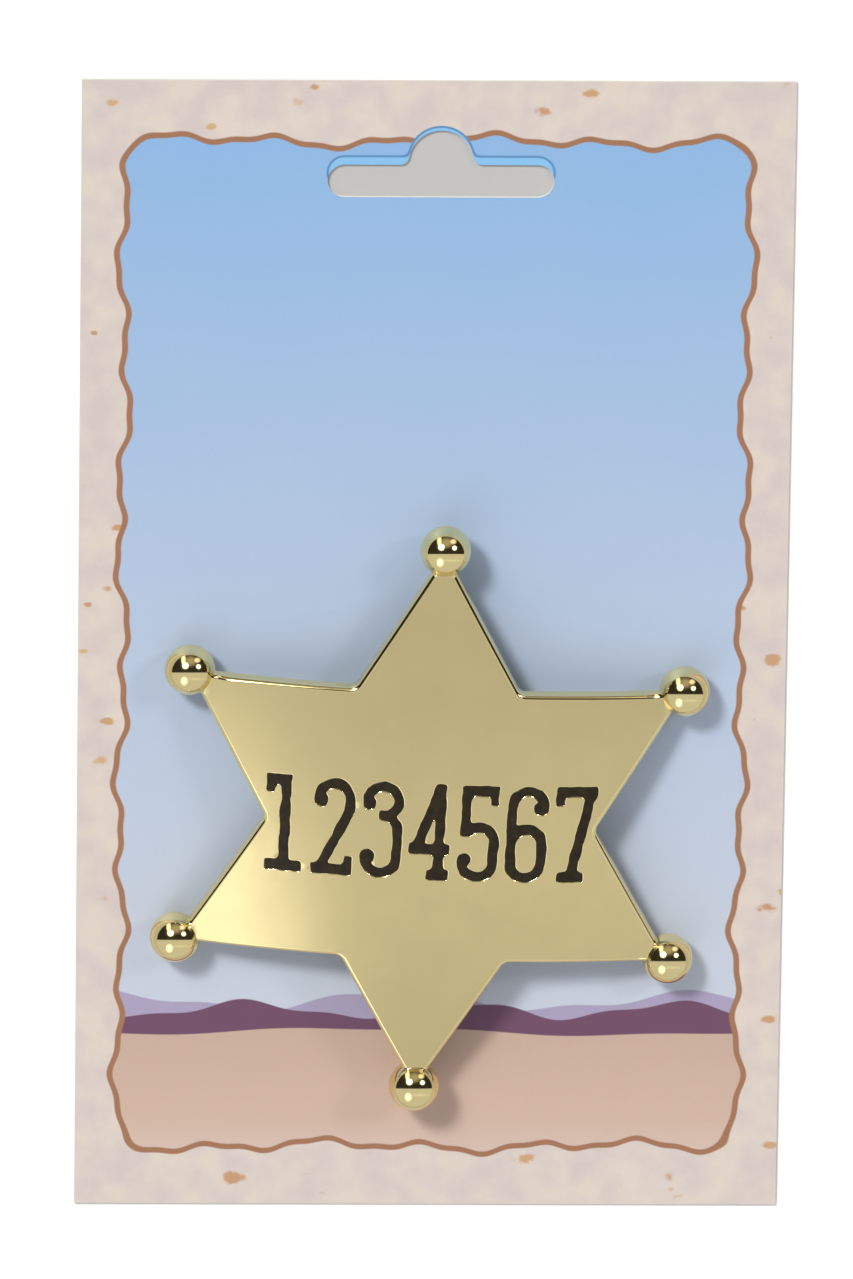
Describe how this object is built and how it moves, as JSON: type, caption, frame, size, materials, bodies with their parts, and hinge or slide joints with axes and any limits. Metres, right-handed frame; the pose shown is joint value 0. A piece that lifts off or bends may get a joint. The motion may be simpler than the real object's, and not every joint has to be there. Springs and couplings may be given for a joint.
{
  "type": "sheriff star badge on its hanging card",
  "caption": "Six-pointed costume star badge with ball tips and sunk black figures, pinned face up to a flat hanging card with a euro slot.",
  "frame": {"origin": "middle of the card's back face, on which the whole thing lies", "axes": "+Y towards the card's head with its hang slot, +Z out of the badge's face, +X to the wearer's left, which is the viewer's right"},
  "size_m": [0.1016, 0.1714, 0.0106],
  "materials": {
    "card_board": "coated, printed in pale blue, sand and brown",
    "gold_plate": "gold plate on a zinc casting, satin face and polished edges and balls",
    "black_enamel": "glossy, filled in by hand",
    "pin_steel": "nickel plated"
  },
  "bodies": {
    "root": {"card": "card_board", "star": "gold_plate", "figure_1": "black_enamel", "figure_2": "black_enamel", "figure_3": "black_enamel", "figure_4": "black_enamel", "figure_5": "black_enamel", "figure_6": "black_enamel", "figure_7": "black_enamel", "pin_back": "pin_steel"}
  },
  "joints": []
}
